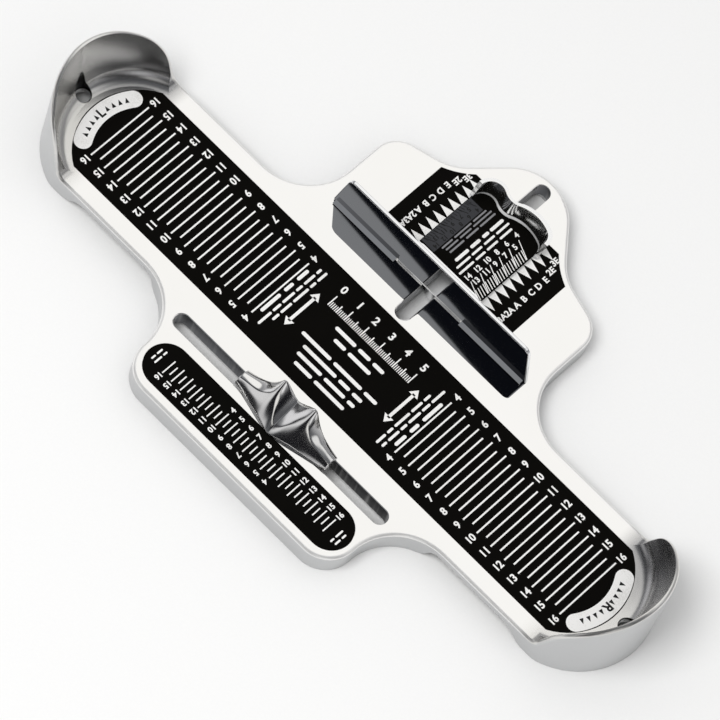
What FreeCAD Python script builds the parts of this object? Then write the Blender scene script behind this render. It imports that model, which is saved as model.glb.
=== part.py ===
"""Foot measuring device: a polished casting with a heel cup at each end, a width slide and an arch slide.

Millimetres. The casting is drawn about the foot line, the long centre line between the two cups:
X runs along the foot, Y across it towards the width slide, Z up from the desk.
"""
import FreeCAD, Part
import math
import os
import Sketcher

doc = FreeCAD.newDocument("foot_measure")

# ---------------------------------------------------------------- driving dimensions
SIZES = {
    # frame
    "foot_line_y": -25.0,        # place of the foot line in the part's frame
    "arch_rest": 1.0,            # rest place of the arch slide along the foot
    # casting
    "table_top": 12.0,           # desk to table
    "table_thick": 4.0,
    "wall": 3.2,                 # skirt
    "edge_round": 1.6,           # top edge of the casting and outer edge of the cups
    "waist": 37.3,               # half width of the long bar
    "lobe_x": 65.3,              # half length of both side lobes
    "arch_side_y": 81.0,         # outer edge of the arch lobe, below the foot line
    "arch_corner": 15.4,
    "lobe_neck": 27.6,           # concave corners between bar and lobes
    "shoulder_line_y": 111.8,    # shoulder line carried to the centre
    "shoulder_slope": 15.4,
    "shoulder_round": 13.5,
    "nose_line_y": 144.9,        # nose flank carried to the centre
    "nose_slope": 50.0,
    "nose_round": 24.8,
    "nose_neck": 26.0,
    # heel cups
    "cup_outer": 39.0,           # radius of the outer wall in plan
    "cup_outer_x": 139.8,        # and its centre along the foot
    "cup_side_round": 15.0,      # where the straight side runs into the round wall
    "cup_inner": 37.0,           # radius of the inner wall, carried down to the table
    "cup_inner_x": 135.2,
    "cup_lean": 6.9,             # the inner wall leans out: the backs are 350.8 apart where a heel is widest
    "cup_floor_round": 7.0,
    "cup_block_x": 138.0,        # the block that a cup is cut from starts here
    "cup_block_rise": 45.0,      # and is this tall above the table
    "rim_start": 148.1,          # where the rim leaves the table, from the device's centre
    "rim_slope": 70.6,
    "rim_corner_x": 155.9,       # there it turns to a lower slope
    "rim_far_slope": 35.0,
    "rim_round": 30.0,
    "rim_foot_round": 5.0,
    "hang_hole": 3.7,            # radius
    "hang_groove": 4.0,          # radius of the groove that frees the hole from the leaning wall
    "hang_groove_deep": 0.3,     # it spots the floor this deep
    "hang_hole_x": 170.0,
    # relief of the skirt beside each cup
    "relief_in": 80.0,
    "relief_in_top": 92.0,
    "relief_out_top": 129.0,
    "relief_out": 147.0,
    "relief_height": 8.0,
    # slots
    "slot_round": 4.0,           # half width of both slots
    "slot_wall": 3.0,            # rim round a slot, under the table
    "slot_wall_foot": 3.2,       # its lower edge above the desk
    "arch_slot_y": -45.0,
    "arch_slot_x": 61.5,         # end centres
    "width_slot_near": 34.0,
    "width_slot_far": 123.5,
    "rib_thick": 2.4,
    "rib_foot": 4.0,             # cross ribs stop this far above the desk
    "rib_reach": 26.0,
    "rib_step": 49.0,
    # scale plates, let into the casting
    "plate_thick": 0.8,
    "plate_gap": 0.15,
    "length_plate_y": 27.9,
    "length_plate_arc": 32.5,
    "length_plate_reach": 147.3, # straight sides, from the device's centre
    "arch_plate_x": 50.7,
    "arch_plate_y": -65.0,
    "arch_plate_round": 11.0,
    "width_plate_x": 39.0,
    "width_plate_near": 58.0,
    "width_plate_shoulder": 98.0,
    "width_plate_far_x": 26.0,
    "width_plate_far": 107.4,
    "width_plate_hollow": 40.0,
    "width_plate_slot": 4.6,
    # width slide
    "glide": 0.15,               # under both slides
    "carriage_thick": 1.5,
    "carriage_x": 19.6,
    "carriage_near": 49.6,
    "chart_thick": 0.5,
    "chart_near": 63.4,
    "bar_face_y": 49.5,
    "bar_thick": 2.0,
    "bar_foot_x": 60.0,
    "bar_top_x": 55.5,
    "bar_height": 23.35,         # above the carriage, so its top is 25 above the table
    "bar_gap": 0.55,             # under the bar's wings
    "bar_notch_x": 20.4,         # the wings begin beside the carriage
    "toe_x": 58.6,               # sloping toe along the foot of each wing
    "toe_reach": 2.2,
    "toe_tall": 0.75,
    "toe_edge": 0.25,
    "bar_corner": 4.0,
    "bar_edge": 0.5,
    "bar_flange_x": 19.0,
    "bar_flange_far": 62.6,
    "bar_flange_thick": 2.0,
    "bar_flange_corner": 2.5,
    "rivet_x": 12.5,
    "rivet_y": 57.0,
    "rivet_round": 1.5,
    "rivet_head": 2.9,
    "rivet_head_tall": 1.5,
    "rivet_tail": 2.2,
    "grip_tall": 10.2,
    "grip_thick": 1.9,
    "grip_lean": 2.8,            # top of the wall over its foot
    "grip_drift": 0.8,
    "grip_left_x": 19.2,
    "grip_right_x": 19.5,
    "grip_end_y": 97.5,
    "grip_corner_x": 15.6,
    "grip_corner_y": 103.2,
    "grip_dip_y": 102.7,
    "grip_dip_left": -9.3,
    "grip_dip_right": 0.2,
    "grip_left_round": 6.6,
    "grip_dip_round": 9.0,
    "grip_right_round": 19.0,
    "grip_corner_round": 5.5,
    "width_guide_near": 50.5,
    "width_guide_far": 104.0,
    "guide_round": 3.8,
    "width_keeper_near": 53.0,
    "width_keeper_far": 101.5,
    "width_foot_near": 58.0,     # foot of the guide block
    "width_foot_far": 96.0,
    "width_screw_near": 65.0,
    "width_screw_far": 89.0,
    "guide_screw_near": 56.5,
    "guide_screw_far": 98.0,
    # arch slide
    "arch_guide_x": 15.2,
    "arch_keeper_x": 13.5,
    "arch_foot_x": 8.6,
    "arch_screw_x": 4.8,
    "pointer_screw_x": 11.0,
    "pointer_screw_deep": 2.6,   # screw head above the keeper
    # parts shared by both slides
    "keeper_thick": 1.4,
    "keeper_y": 6.8,
    "keeper_corner": 2.0,
    "spring_gap": 0.9,           # between slot rim and keeper
    "spring_thick": 0.3,
    "spring_y": 6.0,
    "screw_round": 1.5,
    "screw_head": 2.75,
    "screw_head_tall": 1.25,
    "screw_slot": 0.7,
    "cheese_tall": 2.0,
    "thread_deep": 5.6,
    # arch pointer
    "wing_left_x": 26.5,
    "wing_x": 19.0,
    "wing_right_x": 29.3,
    "ear_x": 9.5,
    "ear_rise": 16.7,
    "valley_rise": 10.0,
    "tip_y": -54.7,
}

dims = doc.addObject("Spreadsheet::Sheet", "Dims")
for row, (alias, number) in enumerate(SIZES.items(), start=1):
    dims.set(f"A{row}", alias)
    dims.set(f"B{row}", str(number))
    dims.setAlias(f"B{row}", alias)
doc.recompute()


class Size:
    """A size as FreeCAD writes it in an expression, with its present number beside it."""

    def __init__(self, text, number):
        self.text = text
        self.number = number

    def join(self, sign, other, number):
        return Size(f"({self.text} {sign} {other.text})", number)

    def __add__(self, other):
        other = size(other)
        return self.join("+", other, self.number + other.number)

    def __sub__(self, other):
        other = size(other)
        return self.join("-", other, self.number - other.number)

    def __mul__(self, other):
        other = size(other)
        return self.join("*", other, self.number * other.number)

    def __truediv__(self, other):
        other = size(other)
        return self.join("/", other, self.number / other.number)

    def __radd__(self, other):
        return size(other) + self

    def __rsub__(self, other):
        return size(other) - self

    def __rmul__(self, other):
        return size(other) * self

    def __neg__(self):
        return size(0) - self


def size(value):
    """A cell by its alias, a plain number, or a size as it is."""
    if isinstance(value, Size):
        return value
    if isinstance(value, str):
        return Size(f"Dims.{value}", float(dims.get(value)))
    return Size(f"{value}", float(value))


def tangent(alias):
    """Tangent of an angle that the sheet gives in degrees."""
    angle = size(alias)
    return Size(f"tan({angle.text} * 1 deg)", math.tan(math.radians(angle.number)))


def cosine(alias):
    angle = size(alias)
    return Size(f"cos({angle.text} * 1 deg)", math.cos(math.radians(angle.number)))


def root(area):
    """Square root of a size."""
    return Size(f"sqrt({area.text})", math.sqrt(area.number))


def bind(thing, **properties):
    """Tie properties of a document object to sizes."""
    for name, value in properties.items():
        thing.setExpression(name.replace("__", "."), size(value).text)


# ---------------------------------------------------------------- sketches
PLANES = {"XY": "XY_Plane", "XZ": "XZ_Plane", "YZ": "YZ_Plane"}
ORIGIN_POINT = (-1, 1)
ALONG_X, ALONG_Y = -1, -2


def new_body(label, up=0.0, along=0.0, across="foot_line_y"):
    """A body on the foot line, raised from the desk and set along the foot."""
    body = doc.addObject("PartDesign::Body", label)
    body.Label = label
    bind(body, Placement__Base__x=along, Placement__Base__y=across, Placement__Base__z=up)
    return body


def new_sketch(body, name, plane, lift=0.0):
    sketch = body.newObject("Sketcher::SketchObject", f"{body.Name}_{name}")
    role = PLANES[plane]
    face = next(item for item in body.Origin.OriginFeatures if item.Role == role)
    sketch.AttachmentSupport = [(face, "")]
    sketch.MapMode = "FlatFace"
    bind(sketch, AttachmentOffset__Base__z=lift)
    return sketch


def tie(sketch, kind, *where, value):
    """A dimension in a sketch, tied to its size."""
    index = sketch.addConstraint(Sketcher.Constraint(kind, *where, value.number))
    sketch.setExpression(f"Constraints[{index}]", value.text)


def pin_point(sketch, segment, end, x, y):
    """Fix a point of a sketch by its two distances from the origin."""
    for kind, axis, value in (("DistanceX", ALONG_Y, size(x)), ("DistanceY", ALONG_X, size(y))):
        if value.number == 0.0:
            sketch.addConstraint(Sketcher.Constraint("PointOnObject", segment, end, axis))
        else:
            tie(sketch, kind, *ORIGIN_POINT, segment, end, value=value)


def arc_through(start, end, radius, left):
    """Arc from start to end; its centre lies left or right of the way."""
    chord = end - start
    half = chord.Length / 2
    side = FreeCAD.Vector(-chord.y, chord.x, 0).normalize() * (1 if left else -1)
    centre = (start + end) / 2 + side * math.sqrt(max(radius ** 2 - half ** 2, 0.0))
    first, last = (start, end) if left else (end, start)
    turn = [math.atan2(point.y - centre.y, point.x - centre.x) for point in (first, last)]
    return Part.ArcOfCircle(Part.Circle(centre, FreeCAD.Vector(0, 0, 1), radius), *turn)


def draw_outline(sketch, corners):
    """Closed outline. A corner is (x, y), or (x, y, radius, left) where an arc leaves it."""
    points = [FreeCAD.Vector(size(c[0]).number, size(c[1]).number, 0) for c in corners]
    first = sketch.GeometryCount
    ends = []
    for index, corner in enumerate(corners):
        start, end = points[index], points[(index + 1) % len(points)]
        if len(corner) == 2:
            segment = sketch.addGeometry(Part.LineSegment(start, end), False)
            ends.append((segment, 1, 2))
        else:
            radius, left = size(corner[2]), corner[3]
            segment = sketch.addGeometry(arc_through(start, end, radius.number, left), False)
            ends.append((segment, 1, 2) if left else (segment, 2, 1))
    for index, corner in enumerate(corners):
        segment, start, _ = ends[index]
        before, _, stop = ends[index - 1]
        sketch.addConstraint(Sketcher.Constraint("Coincident", before, stop, segment, start))
        pin_point(sketch, segment, start, corner[0], corner[1])
        if len(corner) > 2:
            tie(sketch, "Radius", segment, value=size(corner[2]))
    return first


def draw_slot(sketch, start, end, radius):
    """Round-ended slot between two end centres on a line along X or Y."""
    radius = size(radius)
    centres = [FreeCAD.Vector(size(x).number, size(y).number, 0) for x, y in (start, end)]
    along = (centres[1] - centres[0]).normalize()
    left = FreeCAD.Vector(-along.y, along.x, 0) * radius.number
    heading = math.atan2(along.y, along.x)
    up = FreeCAD.Vector(0, 0, 1)
    arcs = []
    for centre, swing in zip(centres, (heading + math.pi / 2, heading - math.pi / 2)):
        circle = Part.Circle(centre, up, radius.number)
        arcs.append(sketch.addGeometry(Part.ArcOfCircle(circle, swing, swing + math.pi), False))
    near, far = arcs
    lower = sketch.addGeometry(Part.LineSegment(centres[0] - left, centres[1] - left), False)
    upper = sketch.addGeometry(Part.LineSegment(centres[1] + left, centres[0] + left), False)
    for arc, arc_end, line, line_end in ((near, 2, lower, 1), (far, 1, lower, 2),
                                         (far, 2, upper, 1), (near, 1, upper, 2)):
        sketch.addConstraint(Sketcher.Constraint("Tangent", arc, arc_end, line, line_end))
    direction = "Horizontal" if abs(along.x) > 0.5 else "Vertical"
    sketch.addConstraint(Sketcher.Constraint(direction, lower))
    tie(sketch, "Radius", near, value=radius)
    pin_point(sketch, near, 3, *start)
    if direction == "Horizontal":
        tie(sketch, "DistanceX", *ORIGIN_POINT, far, 3, value=size(end[0]))
    else:
        tie(sketch, "DistanceY", *ORIGIN_POINT, far, 3, value=size(end[1]))


def draw_circle(sketch, x, y, radius):
    radius = size(radius)
    centre = FreeCAD.Vector(size(x).number, size(y).number, 0)
    circle = sketch.addGeometry(Part.Circle(centre, FreeCAD.Vector(0, 0, 1), radius.number), False)
    pin_point(sketch, circle, 3, x, y)
    tie(sketch, "Radius", circle, value=radius)


# ---------------------------------------------------------------- features
def finish_feature(body, feature):
    body.Tip = feature
    doc.recompute()
    if "Invalid" in feature.State or feature.Shape.isNull() or not feature.Shape.isValid():
        raise RuntimeError(f"{feature.Name} fails: {feature.State} {feature.getStatusString()}")
    return feature


def pad(body, sketch, length, **settings):
    feature = body.newObject("PartDesign::Pad", f"{sketch.Name}_pad")
    feature.Profile = sketch
    bind(feature, Length=length)
    for name, value in settings.items():
        setattr(feature, name, value)
    return finish_feature(body, feature)


def pocket(body, sketch, depth=None, **settings):
    """Cut a sketch into the body: to a depth, or through everything."""
    feature = body.newObject("PartDesign::Pocket", f"{sketch.Name}_pocket")
    feature.Profile = sketch
    before = body.Shape.Volume
    if depth is None:
        feature.Type = "ThroughAll"
    else:
        bind(feature, Length=depth)
    for name, value in settings.items():
        setattr(feature, name, value)
    finish_feature(body, feature)
    if body.Shape.Volume >= before:
        raise RuntimeError(f"{feature.Name} cuts nothing")
    return feature


def revolve(body, sketch, axis, angle=360.0, **settings):
    feature = body.newObject("PartDesign::Revolution", f"{sketch.Name}_turn")
    feature.Profile = sketch
    feature.ReferenceAxis = (sketch, [axis])
    feature.Angle = angle
    for name, value in settings.items():
        setattr(feature, name, value)
    return finish_feature(body, feature)


def groove(body, sketch):
    """Cut a sketch, turned about its own axis, out of the body."""
    feature = body.newObject("PartDesign::Groove", f"{sketch.Name}_bore")
    feature.Profile = sketch
    feature.ReferenceAxis = (sketch, ["Axis0"])
    feature.Angle = 360.0
    before = body.Shape.Volume
    finish_feature(body, feature)
    if body.Shape.Volume >= before:
        raise RuntimeError(f"{feature.Name} cuts nothing")
    return feature


def fillet(body, name, radius, wanted):
    """Round the edges that a test picks."""
    before = body.Tip
    edges = [f"Edge{n}" for n, edge in enumerate(before.Shape.Edges, start=1) if wanted(edge)]
    feature = body.newObject("PartDesign::Fillet", f"{body.Name}_{name}")
    feature.Base = (before, edges)
    bind(feature, Radius=radius)
    return finish_feature(body, feature)


def upright_near(x, y, reach=1.0):
    """Test for an upright edge near a place in plan, on either side of the centre."""
    def wanted(edge):
        box = edge.BoundBox
        if box.ZLength < 0.8 * max(box.XLength, box.YLength, 0.5):
            return False
        return abs(abs(box.Center.x) - x) < reach and abs(box.Center.y - y) < reach
    return wanted


def mirror_over(body, plane, features):
    feature = body.newObject("PartDesign::Mirrored", f"{features[0].Name}_mirror")
    feature.Originals = features
    role = PLANES[plane]
    face = next(item for item in body.Origin.OriginFeatures if item.Role == role)
    feature.MirrorPlane = (face, [""])
    return finish_feature(body, feature)


# ---------------------------------------------------------------- casting
def casting_outline(inset):
    """Corners of the casting's plan before they are rounded, moved in by a wall's thickness."""
    waist = size("waist") - inset
    lobe = size("lobe_x") - inset
    cup = size("cup_outer") - inset
    side_end = size("cup_outer_x") + root(cup * cup - waist * waist)
    cup_end = size("cup_outer_x") + cup
    arch_side = -(size("arch_side_y") - inset)
    shoulder = size("shoulder_line_y") - inset / cosine("shoulder_slope")
    nose = size("nose_line_y") - inset / cosine("nose_slope")
    rise, flank = tangent("shoulder_slope"), tangent("nose_slope")
    neck_x = (nose - shoulder) / (flank - rise)
    half = [(lobe, arch_side), (lobe, -waist), (side_end, -waist, cup, True), (cup_end, 0, cup, True),
            (side_end, waist), (lobe, waist), (lobe, shoulder - lobe * rise),
            (neck_x, nose - neck_x * flank)]
    other = [(-x, y) for x, y, *_ in reversed(half)]
    for place in (3, 4):
        other[place] = (*other[place], cup, True)
    return half + [(size(0), nose)] + other


def plan_block(body, inset, height):
    """Block with the casting's plan, every side moved in by the same distance."""
    inset = size(inset)
    corners = casting_outline(inset)
    sketch = new_sketch(body, "plan", "XY")
    draw_outline(sketch, corners)
    pad(body, sketch, height)
    rounds = (("arch", 0, size("arch_corner") - inset),
              ("arch_neck", 1, size("lobe_neck") + inset),
              ("neck", 5, size("lobe_neck") + inset),
              ("shoulder", 6, size("shoulder_round") - inset),
              ("nose_neck", 7, size("nose_neck") + inset),
              ("nose", 8, size("nose_round") - inset))
    for name, index, radius in rounds:
        x, y = corners[index][:2]
        fillet(body, name, radius, upright_near(x.number, y.number))


base = new_body("base_casting")
plan_block(base, 0, "table_top")

# the heel cups: a round-ended block at each end, cut down along the rim line, then hollowed
BLOCK_TOP = size("table_top") + "cup_block_rise"
round_end = casting_outline(size(0))[2:5]
block = new_sketch(base, "cup_block", "XY")
draw_outline(block, [("cup_block_x", -size("waist")), *round_end, ("cup_block_x", "waist")])
mirror_over(base, "YZ", [pad(base, block, BLOCK_TOP)])
for name, (x, y) in (("cup_near_side", round_end[0][:2]), ("cup_far_side", round_end[2][:2])):
    fillet(base, name, "cup_side_round", upright_near(x.number, y.number))

rim = new_sketch(base, "rim_line", "XZ")
rim_rise, rim_run = tangent("rim_slope"), cosine("rim_slope")
far_rise, far_run = tangent("rim_far_slope"), cosine("rim_far_slope")
foot_reach = size("rim_foot_round") * (size(1) - rim_run) / (rim_rise * rim_run)
bend_reach = size("rim_round") * tangent((size("rim_slope") - "rim_far_slope") / 2)
corner_up = size("table_top") + (size("rim_corner_x") - "rim_start") * rim_rise
clear_x = size("cup_block_x") - 5
clear_up = BLOCK_TOP + 5
past_x = size("cup_outer_x") + "cup_outer" + 5
for side in (1, -1):
    draw_outline(rim, [
        (clear_x * side, "table_top"),
        ((size("rim_start") - foot_reach) * side, "table_top", "rim_foot_round", side > 0),
        ((size("rim_start") + foot_reach * rim_run) * side,
         size("table_top") + foot_reach * rim_run * rim_rise),
        ((size("rim_corner_x") - bend_reach * rim_run) * side,
         corner_up - bend_reach * rim_run * rim_rise, "rim_round", side < 0),
        ((size("rim_corner_x") + bend_reach * far_run) * side, corner_up + bend_reach * far_run * far_rise),
        (past_x * side, corner_up + (past_x - "rim_corner_x") * far_rise),
        (past_x * side, clear_up),
        (clear_x * side, clear_up),
    ])
pocket(base, rim, Midplane=True)
TABLE_EDGE = size("table_top").number - 0.01
CUP_START = size("cup_block_x").number
fillet(base, "top_edge", "edge_round",
       lambda e: min(v.Z for v in e.Vertexes) > TABLE_EDGE
       and (e.BoundBox.XLength > 0.01 or abs(e.BoundBox.XMin) < CUP_START))


def turn_axis(sketch, x, foot):
    """Upright axis in a sketch, as its first construction line."""
    line = Part.LineSegment(FreeCAD.Vector(x.number, foot.number, 0),
                            FreeCAD.Vector(x.number, foot.number + 5, 0))
    axis = sketch.addGeometry(line, True)
    pin_point(sketch, axis, 1, x, foot)
    pin_point(sketch, axis, 2, x, foot + 5)


bowl = new_sketch(base, "cup_bowl", "XZ")
BOWL = size("cup_inner_x")
wall_foot = BOWL + "cup_inner"
lean = tangent("cup_lean")
round_reach = size("cup_floor_round") * tangent((size(90) - "cup_lean") / 2)
round_up = round_reach * cosine("cup_lean")
draw_outline(bowl, [
    (BOWL, "table_top"),
    (wall_foot - round_reach, "table_top", "cup_floor_round", True),
    (wall_foot + round_up * lean, size("table_top") + round_up),
    (wall_foot + lean * (clear_up - "table_top"), clear_up),
    (BOWL, clear_up),
])
turn_axis(bowl, BOWL, size("table_top"))
mirror_over(base, "YZ", [groove(base, bowl)])

# the hollow under the table, as the core that leaves it; the cut places it in the casting's own frame
core = new_body("core", across=0)
plan_block(core, "wall", size("table_top") - "table_thick")
hollow = base.newObject("PartDesign::Boolean", "base_casting_hollow")
hollow.setObjects([core])
hollow.Type = "Cut"
finish_feature(base, hollow)

# a rim round each slot and ribs across the bar, under the table
slot_rims = new_sketch(base, "slot_rims", "XY", "slot_wall_foot")
ARCH_SLOT = ((-size("arch_slot_x"), "arch_slot_y"), ("arch_slot_x", "arch_slot_y"))
WIDTH_SLOT = ((0, "width_slot_near"), (0, "width_slot_far"))
for ends in (ARCH_SLOT, WIDTH_SLOT):
    draw_slot(slot_rims, *ends, size("slot_round") + "slot_wall")
UNDER_TABLE = size("table_top") - size("table_thick") / 2
pad(base, slot_rims, UNDER_TABLE - "slot_wall_foot")

ribs = new_sketch(base, "ribs", "XY", "rib_foot")
half_rib = size("rib_thick") / 2
for place in (-1.5, -0.5, 0.5, 1.5):
    middle = size("rib_step") * place
    draw_outline(ribs, [(middle - half_rib, -size("rib_reach")), (middle + half_rib, -size("rib_reach")),
                        (middle + half_rib, "rib_reach"), (middle - half_rib, "rib_reach")])
pad(base, ribs, UNDER_TABLE - "rib_foot")

slots = new_sketch(base, "slots", "XY", "table_top")
for ends in (ARCH_SLOT, WIDTH_SLOT):
    draw_slot(slots, *ends, "slot_round")
pocket(base, slots, "table_top")

# ---------------------------------------------------------------- scale plates and their seats
def length_plate_corners(grow):
    """Long plate: two straight sides and a wide arc at each end."""
    side = size("length_plate_y") + grow
    arc = size("length_plate_arc") + grow
    reach = size("length_plate_reach")
    return [(-reach, side, arc, True), (-reach, -side),
            (reach, -side, arc, True), (reach, side)]


def width_plate_corners(side, grow):
    """Plate on one side of the width slot, its far corner cut back by a hollow diagonal."""
    near = size("width_plate_near") - grow
    inner = size("width_plate_slot") - grow
    outer = size("width_plate_x") + grow
    far = size("width_plate_far") + grow
    return [(inner * side, near), (outer * side, near),
            (outer * side, size("width_plate_shoulder") + grow / 2, "width_plate_hollow", side < 0),
            (size("width_plate_far_x") * side + grow * side / 2, far), (inner * side, far)]


def draw_plate(sketch, name, grow):
    grow = size(grow)
    if name == "length_scale_plate":
        draw_outline(sketch, length_plate_corners(grow))
    elif name == "arch_scale_plate":
        draw_slot(sketch, (-size("arch_plate_x"), "arch_plate_y"), ("arch_plate_x", "arch_plate_y"),
                  size("arch_plate_round") + grow)
    else:
        draw_outline(sketch, width_plate_corners(1 if name.endswith("right") else -1, grow))


PLATES = ("length_scale_plate", "arch_scale_plate", "width_scale_plate_left", "width_scale_plate_right")
CLEAR_ABOVE = 3.0
seats = new_sketch(base, "plate_seats", "XY", size("table_top") + CLEAR_ABOVE)
for plate in PLATES:
    draw_plate(seats, plate, "plate_gap")
pocket(base, seats, size("plate_thick") + CLEAR_ABOVE)

for plate in PLATES:
    body = new_body(plate, up=size("table_top") - "plate_thick")
    sketch = new_sketch(body, "plan", "XY")
    draw_plate(sketch, plate, 0)
    pad(body, sketch, "plate_thick")

for name, top, deep in (("hang_groove", BLOCK_TOP, size("cup_block_rise") + "hang_groove_deep"),
                        ("hang_hole", size("table_top"), size("table_top"))):
    sketch = new_sketch(base, f"{name}s", "XY", top)
    for side in (1, -1):
        draw_circle(sketch, size("hang_hole_x") * side, 0, name)
    pocket(base, sketch, deep)

# the skirt lifts off the desk between the lobes and the cups
relief = new_sketch(base, "relief", "XZ")
RELIEF_FOOT = -0.4
middle_up = (size("relief_height") + RELIEF_FOOT) / 2


def ease_round(run):
    """Radius of each arc of an even S curve over half the relief's height and this run."""
    half_rise = (size("relief_height") - RELIEF_FOOT) / 2
    return (run * run + half_rise * half_rise) / (half_rise * 2)


for side in (1, -1):
    turn = side > 0
    inner_run = (size("relief_in_top") - "relief_in") / 2
    outer_run = (size("relief_out") - "relief_out_top") / 2
    draw_outline(relief, [
        (size("relief_in") * side, RELIEF_FOOT, ease_round(inner_run), turn),
        ((size("relief_in") + inner_run) * side, middle_up, ease_round(inner_run), not turn),
        (size("relief_in_top") * side, "relief_height"),
        (size("relief_out_top") * side, "relief_height", ease_round(outer_run), not turn),
        ((size("relief_out_top") + outer_run) * side, middle_up, ease_round(outer_run), turn),
        (size("relief_out") * side, RELIEF_FOOT),
    ])
pocket(base, relief, Midplane=True)


# ---------------------------------------------------------------- width slide
CARRIAGE_FOOT = size("table_top") + "glide"
CARRIAGE_TOP = CARRIAGE_FOOT + "carriage_thick"


def wave(shift_x=0, shift_y=0, grow=0):
    """Wavy line of the grip, from its right end round to its left end, as outline corners."""
    shift_x, shift_y, grow = size(shift_x), size(shift_y), size(grow)
    return [
        (size("grip_right_x") + shift_x + grow, size("grip_end_y") + shift_y,
         size("grip_corner_round") + grow, True),
        (size("grip_corner_x") + shift_x + grow / 2, size("grip_corner_y") + shift_y + grow,
         size("grip_right_round") + grow, True),
        (size("grip_dip_right") + shift_x, size("grip_dip_y") + shift_y + grow,
         size("grip_dip_round") - grow, False),
        (size("grip_dip_left") + shift_x, size("grip_dip_y") + shift_y + grow,
         size("grip_left_round") + grow, True),
        (-size("grip_left_x") + shift_x - grow, size("grip_end_y") + shift_y),
    ]


def wave_back(shift_x=0, shift_y=0):
    """The same line the other way, for the inner side of the grip's wall."""
    line = wave(shift_x, shift_y)
    back = []
    for index in range(len(line) - 1, -1, -1):
        x, y = line[index][:2]
        if index > 0:
            back.append((x, y, line[index - 1][2], not line[index - 1][3]))
        else:
            back.append((x, y))
    return back


carriage = new_body("width_carriage", up=CARRIAGE_FOOT)
plan = new_sketch(carriage, "plan", "XY")
draw_outline(plan, [(-size("carriage_x"), "carriage_near"), ("carriage_x", "carriage_near")]
             + [("carriage_x", size("grip_end_y") - 0.5)] + wave(grow="grip_thick")
             + [(-size("carriage_x"), size("grip_end_y") - 0.5)])
pad(carriage, plan, "carriage_thick")
wall_foot = new_sketch(carriage, "grip_foot", "XY", size("carriage_thick") - 0.1)
draw_outline(wall_foot, wave(grow="grip_thick") + wave_back())
wall_top = new_sketch(carriage, "grip_top", "XY", size("carriage_thick") + "grip_tall")
draw_outline(wall_top, wave("grip_drift", "grip_lean", "grip_thick") + wave_back("grip_drift", "grip_lean"))
grip = carriage.newObject("PartDesign::AdditiveLoft", "width_carriage_grip")
grip.Profile = wall_foot
grip.Sections = [wall_top]
grip.Ruled = True
finish_feature(carriage, grip)

chart = new_body("width_chart_plate", up=CARRIAGE_TOP)
plan = new_sketch(chart, "plan", "XY")
draw_outline(plan, [(-size("carriage_x"), "chart_near"), ("carriage_x", "chart_near"),
                    ("carriage_x", size("grip_end_y") - 0.5)]
             + wave(shift_y=-0.1) + [(-size("carriage_x"), size("grip_end_y") - 0.5)])
pad(chart, plan, "chart_thick")

# ---------------------------------------------------------------- fasteners and their holes
def turn(body, name, x, y, profile, up, hole=False):
    """Turn a profile of (radius, height above the desk) about an upright axis: a solid or a hole."""
    sketch = new_sketch(body, name, "XZ", -size(y))
    x, up = size(x), size(up)
    draw_outline(sketch, [(x + corner[0], size(corner[1]) - up) + tuple(corner[2:])
                          for corner in profile])
    turn_axis(sketch, x, size(profile[0][1]) - up)
    if hole:
        groove(body, sketch)
    else:
        revolve(body, sketch, "Axis0")


FIT = 0.05                       # room round a fastener


def sunk_below(foot, top, grow=0.0):
    """Countersunk screw put in from below: its head is flush at the foot."""
    head, shank = size("screw_head") + grow, size("screw_round") + grow
    neck = size(foot) + "screw_head_tall"
    return [(0, foot), (head, foot), (shank, neck), (shank, size(top) + grow), (0, size(top) + grow)]


def sunk_above(foot, top, grow=0.0):
    """Countersunk screw put in from above: its head is flush at the top."""
    head, shank = size("screw_head") + grow, size("screw_round") + grow
    neck = size(top) - "screw_head_tall"
    return [(0, size(foot) - grow), (shank, size(foot) - grow), (shank, neck), (head, top), (0, top)]


def cheese_below(foot, top, grow=0.0):
    """Cheese-head screw put in from below."""
    head, shank = size("screw_head") + grow, size("screw_round") + grow
    neck = size(foot) + "cheese_tall"
    return [(0, foot), (head, foot), (head, neck), (shank, neck),
            (shank, size(top) + grow), (0, size(top) + grow)]


def screw_slots(body, places, foot, up):
    """Driver slots in screw heads that face down."""
    sketch = new_sketch(body, "driver_slots", "XY", size(foot) - up)
    half = size("screw_slot") / 2
    reach = size("screw_head") + 1
    for x, y in places:
        x, y = size(x), size(y)
        draw_outline(sketch, [(x - reach, y - half), (x + reach, y - half),
                              (x + reach, y + half), (x - reach, y + half)])
    pocket(body, sketch, "screw_slot", Reversed=True)


KEEPER_TOP = size("slot_wall_foot") - "spring_gap"
KEEPER_FOOT = KEEPER_TOP - "keeper_thick"


def guide_block(label, foot_ends, ends, along=0.0):
    """Block that fills a slot; its shorter foot reaches through the spring to the keeper."""
    body = new_body(label, up=KEEPER_TOP, along=along)
    step = size("spring_gap") + "glide"
    foot = new_sketch(body, "foot", "XY")
    draw_slot(foot, *foot_ends, "guide_round")
    pad(body, foot, step)
    block = new_sketch(body, "block", "XY", step)
    draw_slot(block, *ends, "guide_round")
    pad(body, block, CARRIAGE_FOOT - KEEPER_TOP - step)
    return body


def keeper(label, low, high, along=0.0):
    body = new_body(label, up=KEEPER_FOOT, along=along)
    sketch = new_sketch(body, "plan", "XY")
    draw_outline(sketch, [low, (high[0], low[1]), high, (low[0], high[1])])
    pad(body, sketch, "keeper_thick")
    fillet(body, "corners", "keeper_corner", lambda edge: edge.BoundBox.ZLength > 1.0)
    return body


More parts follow.
